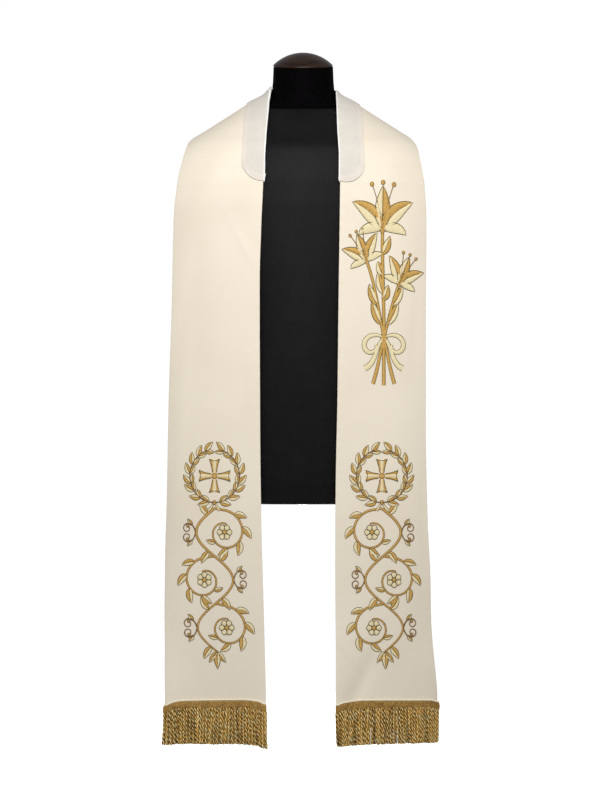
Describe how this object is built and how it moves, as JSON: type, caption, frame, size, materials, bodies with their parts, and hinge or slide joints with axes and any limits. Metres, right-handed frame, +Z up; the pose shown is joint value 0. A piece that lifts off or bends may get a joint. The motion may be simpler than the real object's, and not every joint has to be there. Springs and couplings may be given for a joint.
{
  "type": "clerical stole on a dress form",
  "caption": "Shaped clerical stole with gold fringed ends and a white collar protector, draped over a limbless dress form on a pole stand.",
  "frame": {"origin": "centre of the stand's foot, on the floor", "axes": "+Z up along the pole and the neck, -Y the way the form faces, +X to the viewer's right"},
  "size_m": [0.5129, 0.38, 1.5392],
  "materials": {
    "satin": "cream satin with a soft sheen",
    "cotton": "white plain-woven cotton",
    "gold_fringe": "gold metallic braid and twisted bullion",
    "black_jersey": "matt black jersey",
    "dark_wood": "dark brown stain with satin varnish",
    "white_enamel": "white powder coat, satin"
  },
  "bodies": {
    "root": {"stole_left": "satin", "stole_right": "satin", "collar_protector": "cotton", "fringe_left": "gold_fringe", "fringe_right": "gold_fringe", "dress_form_torso": "black_jersey", "dress_form_neck": "black_jersey", "neck_cap": "dark_wood", "stand_pole": "white_enamel", "stand_foot": "white_enamel"}
  },
  "joints": []
}
